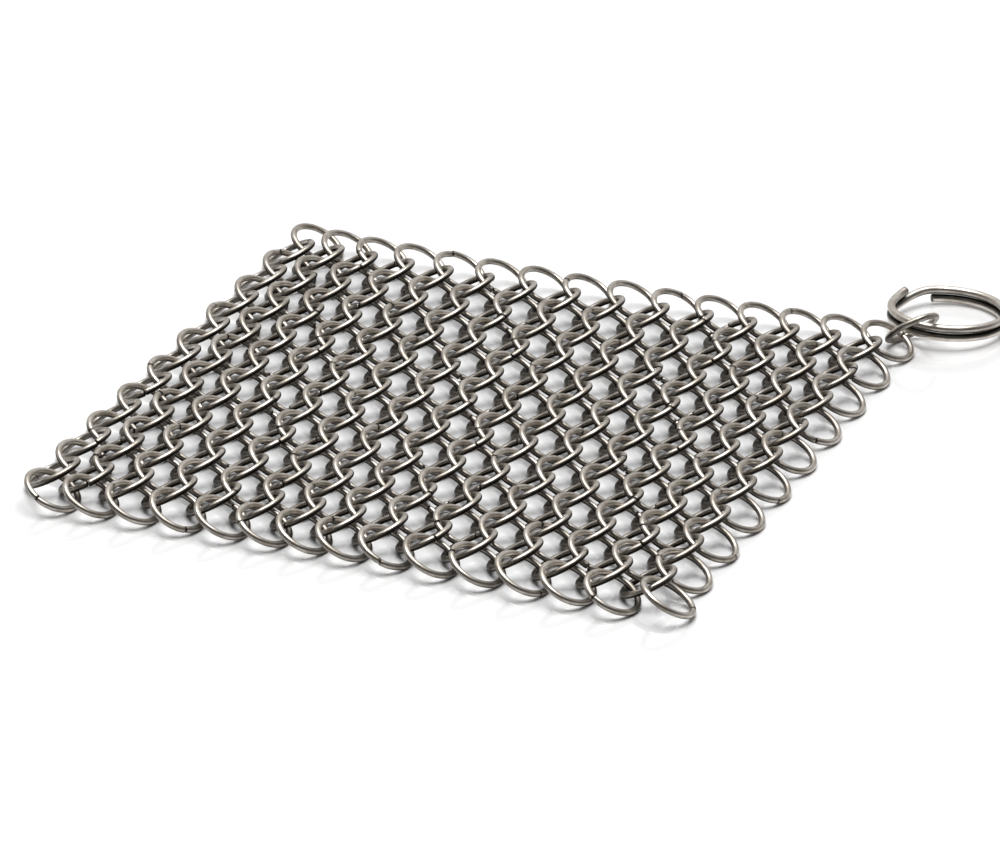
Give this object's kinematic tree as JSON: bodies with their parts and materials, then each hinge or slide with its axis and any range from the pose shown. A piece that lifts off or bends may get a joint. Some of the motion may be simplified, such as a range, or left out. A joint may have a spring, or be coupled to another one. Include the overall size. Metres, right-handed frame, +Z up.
{
  "type": "pot scrubber",
  "caption": "Square chain-mail pot scrubber of linked wire rings, folding row by row, with a link ring and a split ring for hanging at one corner.",
  "frame": {"origin": "middle of the mat of rings, on the surface it lies on", "axes": "+X along the rows of rings, towards the side with the split ring; +Y across the rows, from the near row to the row that carries the link ring; +Z up from the surface"},
  "size_m": [0.1299, 0.1381, 0.0074],
  "materials": {
    "mesh_steel": "satin, tumbled stainless wire",
    "spring_steel": "bright satin spring wire"
  },
  "bodies": {
    "row_01": {"row_01": "mesh_steel"},
    "row_02": {"row_02": "mesh_steel"},
    "row_03": {"row_03": "mesh_steel"},
    "row_04": {"row_04": "mesh_steel"},
    "row_05": {"row_05": "mesh_steel"},
    "row_06": {"row_06": "mesh_steel"},
    "row_07": {"row_07": "mesh_steel"},
    "row_08": {"row_08": "mesh_steel"},
    "row_09": {"row_09": "mesh_steel"},
    "row_10": {"row_10": "mesh_steel"},
    "row_11": {"row_11": "mesh_steel"},
    "row_12": {"row_12": "mesh_steel"},
    "row_13": {"row_13": "mesh_steel"},
    "row_14": {"row_14": "mesh_steel"},
    "row_15": {"row_15": "mesh_steel"},
    "row_16": {"row_16": "mesh_steel"},
    "row_17": {"row_17": "mesh_steel"},
    "row_18": {"row_18": "mesh_steel"},
    "row_19": {"row_19": "mesh_steel"},
    "corner_ring": {"corner_ring": "mesh_steel"},
    "link_ring": {"link_ring": "mesh_steel"},
    "split_ring": {"split_ring": "spring_steel"}
  },
  "joints": [
    {"name": "row_01_fold", "type": "hinge", "parent": "row_02", "child": "row_01", "pos_m": [0, -0.04972, 0.00269], "axis": [-1, 0, 0], "range_deg": [-8, 8]},
    {"name": "row_02_fold", "type": "hinge", "parent": "row_03", "child": "row_02", "pos_m": [0, -0.04387, 0.00269], "axis": [-1, 0, 0], "range_deg": [-8, 8]},
    {"name": "row_03_fold", "type": "hinge", "parent": "row_04", "child": "row_03", "pos_m": [0, -0.03803, 0.00269], "axis": [-1, 0, 0], "range_deg": [-8, 8]},
    {"name": "row_04_fold", "type": "hinge", "parent": "row_05", "child": "row_04", "pos_m": [0, -0.03218, 0.00269], "axis": [-1, 0, 0], "range_deg": [-8, 8]},
    {"name": "row_05_fold", "type": "hinge", "parent": "row_06", "child": "row_05", "pos_m": [0, -0.02633, 0.00269], "axis": [-1, 0, 0], "range_deg": [-8, 8]},
    {"name": "row_06_fold", "type": "hinge", "parent": "row_07", "child": "row_06", "pos_m": [0, -0.02048, 0.00269], "axis": [-1, 0, 0], "range_deg": [-8, 8]},
    {"name": "row_07_fold", "type": "hinge", "parent": "row_08", "child": "row_07", "pos_m": [0, -0.01463, 0.00269], "axis": [-1, 0, 0], "range_deg": [-8, 8]},
    {"name": "row_08_fold", "type": "hinge", "parent": "row_09", "child": "row_08", "pos_m": [0, -0.00877, 0.00269], "axis": [-1, 0, 0], "range_deg": [-8, 8]},
    {"name": "row_09_fold", "type": "hinge", "parent": "row_10", "child": "row_09", "pos_m": [0, -0.00293, 0.00269], "axis": [-1, 0, 0], "range_deg": [-8, 8]},
    {"name": "row_11_fold", "type": "hinge", "parent": "row_10", "child": "row_11", "pos_m": [0, 0.00293, 0.00269], "axis": [1, 0, 0], "range_deg": [-8, 8]},
    {"name": "row_12_fold", "type": "hinge", "parent": "row_11", "child": "row_12", "pos_m": [0, 0.00877, 0.00269], "axis": [1, 0, 0], "range_deg": [-8, 8]},
    {"name": "row_13_fold", "type": "hinge", "parent": "row_12", "child": "row_13", "pos_m": [0, 0.01463, 0.00269], "axis": [1, 0, 0], "range_deg": [-8, 8]},
    {"name": "row_14_fold", "type": "hinge", "parent": "row_13", "child": "row_14", "pos_m": [0, 0.02048, 0.00269], "axis": [1, 0, 0], "range_deg": [-8, 8]},
    {"name": "row_15_fold", "type": "hinge", "parent": "row_14", "child": "row_15", "pos_m": [0, 0.02633, 0.00269], "axis": [1, 0, 0], "range_deg": [-8, 8]},
    {"name": "row_16_fold", "type": "hinge", "parent": "row_15", "child": "row_16", "pos_m": [0, 0.03218, 0.00269], "axis": [1, 0, 0], "range_deg": [-8, 8]},
    {"name": "row_17_fold", "type": "hinge", "parent": "row_16", "child": "row_17", "pos_m": [0, 0.03803, 0.00269], "axis": [1, 0, 0], "range_deg": [-8, 8]},
    {"name": "row_18_fold", "type": "hinge", "parent": "row_17", "child": "row_18", "pos_m": [0, 0.04387, 0.00269], "axis": [1, 0, 0], "range_deg": [-8, 8]},
    {"name": "row_19_fold", "type": "hinge", "parent": "row_18", "child": "row_19", "pos_m": [0, 0.04972, 0.00269], "axis": [1, 0, 0], "range_deg": [-8, 8]},
    {"name": "corner_ring_swing", "type": "hinge", "parent": "row_02", "child": "corner_ring", "pos_m": [0.05314, -0.05087, 0.00415], "axis": [0.6436, 0.6845, 0.3422], "range_deg": [-40, 5]},
    {"name": "link_ring_swing", "type": "hinge", "parent": "row_19", "child": "link_ring", "pos_m": [0.05517, 0.05815, 0.0022], "axis": [-0.8595, 0.2289, 0.457], "range_deg": [-60, 60]},
    {"name": "split_ring_swing", "type": "hinge", "parent": "link_ring", "child": "split_ring", "pos_m": [0.05731, 0.05937, 0.00332], "axis": [-0.9744, 0.225, 0], "range_deg": [-60, 15]}
  ]
}
